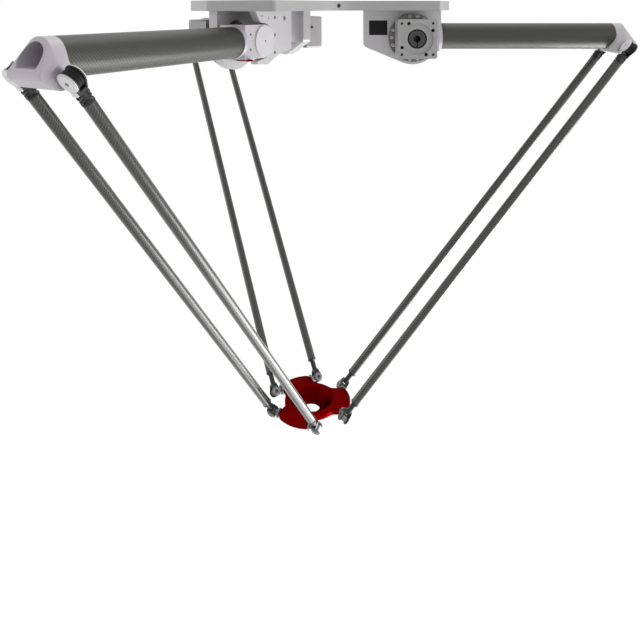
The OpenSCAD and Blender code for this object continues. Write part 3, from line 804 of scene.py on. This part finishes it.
class ROBOT_OT_platform(bpy.types.Operator):
    """Makes the red platform with painted shade in its dish, black cylinders of painted shade at
    its tool screws' holes, and finishes its axles
    """

    bl_idname = "robot.platform"
    bl_label = "Platform"

    def execute(self, context):
        red = red_anodised("platform_red", tuple(finish().platform))
        plate = Shape()
        self.plate(plate, Matrix.Translation((0, 0, JOINT_Z)))
        piece = plate.piece("platform_plate", "platform", "platform", red, smooth=60)
        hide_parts("platform")
        # Painted shade: black cylinders stand for the shade inside the tool screws' tapped holes.
        holes = Shape()
        for i in range(TOOL_SCREWS):
            turn = math.radians(30) + 2 * math.pi * i / TOOL_SCREWS
            holes.lathe([(TOOL_SCREW_R, 0), (TOOL_SCREW_R, 0.0052)],
                        Matrix.Translation((0, 0, JOINT_Z)) @ Matrix.Rotation(turn, 4, "Z")
                        @ Matrix.Translation((TOOL_SCREW_CIRCLE, 0, TOOL_FACE - 0.0001)), 20)
        holes.piece("tool_holes", "platform", "platform", plain_black("tool_hole_shade"))
        for arm in AZIMUTHS:
            axle = Matrix.Rotation(AZIMUTHS[arm], 4, "Z") @ Matrix.Translation(
                (PLATFORM_R, 0, JOINT_Z))
            paint(f"axle_{arm}", turned_metal(f"axle_steel_{arm}", (0.6, 0.6, 0.6), axle))
        return {"FINISHED"}

    def plate(self, shape, matrix, segments=360):
        """Three-lobed plate with a hollow top, made of one ring of sections round its bore.

        At angle a from a lobe's middle the lobe reaches the least of half / |sin a| and the arc
        c cos a + sqrt(r^2 - c^2 sin^2 a), with the corner between them rounded by a power mean.
        The outline is a power mean of the lobes and the disc, which rounds the inner corners.
        Each section is a closed loop of points: some are set in from the outline, and some have
        a radius of their own.
        """
        turn = np.linspace(0, 2 * math.pi, segments, endpoint=False)
        off = np.array([[math.radians(120 * k)] for k in range(3)])
        a = np.mod(turn - off + math.pi, 2 * math.pi) - math.pi
        side = LOBE_HALF / np.maximum(np.abs(np.sin(a)), 0.2)
        arc = LOBE_BACK * np.cos(a) + np.sqrt(LOBE_ARC**2 - (LOBE_BACK * np.sin(a)) ** 2)
        lobe = (side**-OUTER_POWER + arc**-OUTER_POWER) ** (-1 / OUTER_POWER)
        lobe = np.where(np.cos(a) > 0, lobe, DISC_R / 4)
        reach = ((lobe**INNER_POWER).sum(0) + DISC_R**INNER_POWER) ** (1 / INNER_POWER)
        top, low, edge = RIM_T / 2, -RIM_T / 2, RIM_ROUND
        bend = np.linspace(0, math.pi / 2, 6)
        fall = np.linspace(1, 0, 14)
        hollow = [(0.0, radius, z) for radius, z in zip(
            DISH_FLOOR + (DISH_R - DISH_FLOOR) * fall,
            top - DISH_DEEP * 0.5 * (1 + np.cos(math.pi * fall)))]
        section = [(1.0, -edge * (1 - math.sin(b)), low + edge * (1 - math.cos(b))) for b in bend]
        section += [(1.0, -edge * (1 - math.cos(b)), top - edge * (1 - math.sin(b))) for b in bend]
        section += [(0.0, DISH_R + 0.0006, top)] + hollow
        section += [(0.0, BORE_R, top - DISH_DEEP), (0.0, BORE_R, TOOL_FACE),
                    (0.0, TOOL_R - 0.0008, TOOL_FACE), (0.0, TOOL_R, TOOL_FACE + 0.0008),
                    (0.0, TOOL_R, low)]
        share, inset, height = (np.array(column)[:, None] for column in zip(*section))
        radius = share * reach + inset
        rings = np.stack([radius * np.cos(turn), radius * np.sin(turn),
                          np.broadcast_to(height, radius.shape)], 2)
        n = len(section)
        i, j = np.meshgrid(np.arange(n), np.arange(segments), indexing="ij")
        i_next, j_next = (i + 1) % n, (j + 1) % segments
        quads = np.stack([i * segments + j, i * segments + j_next, i_next * segments + j_next,
                          i_next * segments + j], 2)
        shape.add(rings, quads.reshape(-1, 4).tolist(), matrix)


CAMERA_LENS = 35.244
CAMERA_SHIFT = (0.0057, -0.4918)
CAMERA_PLACE = (0.0089, -1.0929, -0.0070)
# Each lamp's name, place, aim, side, power in watts, and whether it lights the robot.
LAMPS = (("low right", (1.15, 0.15, -1.35), (0.0, -0.05, -0.15), 1.1, 26.0, True),
         ("sheen", (0.85, 0.15, -1.46), (0.85, 0.15, 0.0), 1.3, 16.0, False),
         ("right", (1.9, -0.5, 0.0), (0.0, 0.0, -0.1), 1.2, 7.0, True),
         ("left", (-1.9, 0.2, -0.3), (0.0, 0.0, -0.2), 1.2, 7.0, True),
         ("top", (0.3, 0.6, 1.9), (0.0, 0.0, -0.2), 1.6, 12.0, True))
WORLD_LEVEL = 0.52
FLOOR_Z = -1.5
FLOOR_R = 9.0
FLOOR_GLOW = 1.06


class ROBOT_OT_stage(bpy.types.Operator):
    """Sets the camera, the lamps, the world and the pale floor"""

    bl_idname = "robot.stage"
    bl_label = "Stage"

    def execute(self, context):
        scene = bpy.context.scene
        scene.view_settings.view_transform = "Standard"
        data = bpy.data.cameras.new("camera")
        data.lens, data.sensor_width = CAMERA_LENS, 36.0
        data.shift_x, data.shift_y = CAMERA_SHIFT
        data.clip_start, data.clip_end = 0.05, 60.0
        camera = bpy.data.objects.new("camera", data)
        camera.location = CAMERA_PLACE
        camera.rotation_euler = (math.pi / 2, 0, 0)
        scene.collection.objects.link(camera)
        scene.camera = camera
        for lamp in LAMPS:
            self.lamp(*lamp)
        self.world(scene)
        self.floor()
        return {"FINISHED"}

    def lamp(self, name, place, aim, size, power, lights):
        """Soft square lamp that looks at a point. One that doesn't light is only mirrored."""
        light = bpy.data.lights.new(name, "AREA")
        light.size, light.energy = size, power
        obj = bpy.data.objects.new(name, light)
        obj.visible_diffuse = lights
        obj.visible_camera = False
        obj.location = place
        obj.rotation_euler = (Vector(aim) - Vector(place)).to_track_quat("-Z", "Y").to_euler()
        bpy.context.scene.collection.objects.link(obj)

    def world(self, scene):
        """White where it is looked at or mirrored, soft grey where it lights the robot."""
        world = bpy.data.worlds.new("studio")
        scene.world = world
        world.use_nodes = True
        tree = world.node_tree
        tree.nodes.clear()
        out = tree.nodes.new("ShaderNodeOutputWorld")
        back = tree.nodes.new("ShaderNodeBackground")
        path = tree.nodes.new("ShaderNodeLightPath")
        seen = tree.nodes.new("ShaderNodeMath")
        seen.operation = "MAXIMUM"
        tree.links.new(path.outputs["Is Camera Ray"], seen.inputs[0])
        tree.links.new(path.outputs["Is Glossy Ray"], seen.inputs[1])
        level = tree.nodes.new("ShaderNodeMath")
        level.operation = "MULTIPLY_ADD"
        tree.links.new(seen.outputs[0], level.inputs[0])
        level.inputs[1].default_value = 1 - WORLD_LEVEL
        level.inputs[2].default_value = WORLD_LEVEL
        back.inputs["Color"].default_value = (1, 1, 1, 1)
        tree.links.new(level.outputs[0], back.inputs["Strength"])
        tree.links.new(back.outputs[0], out.inputs["Surface"])

    def floor(self):
        """Wide pale disc below the robot, white to the eye but with the robot's shadow kept."""
        shape = Shape()
        shape.lathe([(FLOOR_R, FLOOR_Z - 0.02), (FLOOR_R, FLOOR_Z)], segments=96)
        mesh = bpy.data.meshes.new("floor")
        mesh.from_pydata(np.concatenate(shape.points).tolist(), [], shape.faces)
        floor = bpy.data.objects.new("floor", mesh)
        bpy.context.scene.collection.objects.link(floor)
        g = Graph("floor_white")
        diffuse = g.node("ShaderNodeBsdfDiffuse", None, Color=(0.9, 0.9, 0.9))
        glow = g.node("ShaderNodeEmission", None, Color=(1, 1, 1), Strength=FLOOR_GLOW)
        path = g.node("ShaderNodeLightPath")
        seen = g.math("MAXIMUM", g.out(path, "Is Camera Ray"), g.out(path, "Is Glossy Ray"))
        mix = g.node("ShaderNodeMixShader", None, Fac=seen * 0.9)
        g.tree.links.new(diffuse.outputs[0], mix.inputs[1])
        g.tree.links.new(glow.outputs[0], mix.inputs[2])
        out = g.node("ShaderNodeOutputMaterial")
        g.tree.links.new(mix.outputs[0], out.inputs[0])
        floor.data.materials.append(g.material)


class ROBOT_PT_panel(bpy.types.Panel):
    """Lists the robot's operators and settings"""

    bl_label = "Delta Robot"
    bl_idname = "ROBOT_PT_panel"
    bl_space_type = "VIEW_3D"
    bl_region_type = "UI"
    bl_category = "Delta Robot"

    def draw(self, context):
        for operator in OPERATORS:
            self.layout.operator(operator.bl_idname)
        for group in (context.scene.robot_finish, context.scene.robot_sizes):
            for name in group.bl_rna.properties.keys():
                if name not in ("rna_type", "name"):
                    self.layout.prop(group, name)


OPERATORS = (ROBOT_OT_base, ROBOT_OT_gears, ROBOT_OT_arms, ROBOT_OT_rods, ROBOT_OT_platform,
             ROBOT_OT_stage)
CLASSES = (RobotFinish, RobotSizes, *OPERATORS, ROBOT_PT_panel)


def register():
    for item in CLASSES:
        bpy.utils.register_class(item)
    bpy.types.Scene.robot_finish = bpy.props.PointerProperty(type=RobotFinish)
    bpy.types.Scene.robot_sizes = bpy.props.PointerProperty(type=RobotSizes)


def unregister():
    del bpy.types.Scene.robot_sizes
    del bpy.types.Scene.robot_finish
    for item in reversed(CLASSES):
        bpy.utils.unregister_class(item)


def main():
    register()
    for operator in OPERATORS:
        area, name = operator.bl_idname.split(".")
        getattr(getattr(bpy.ops, area), name)()


if __name__ == "__main__":
    main()
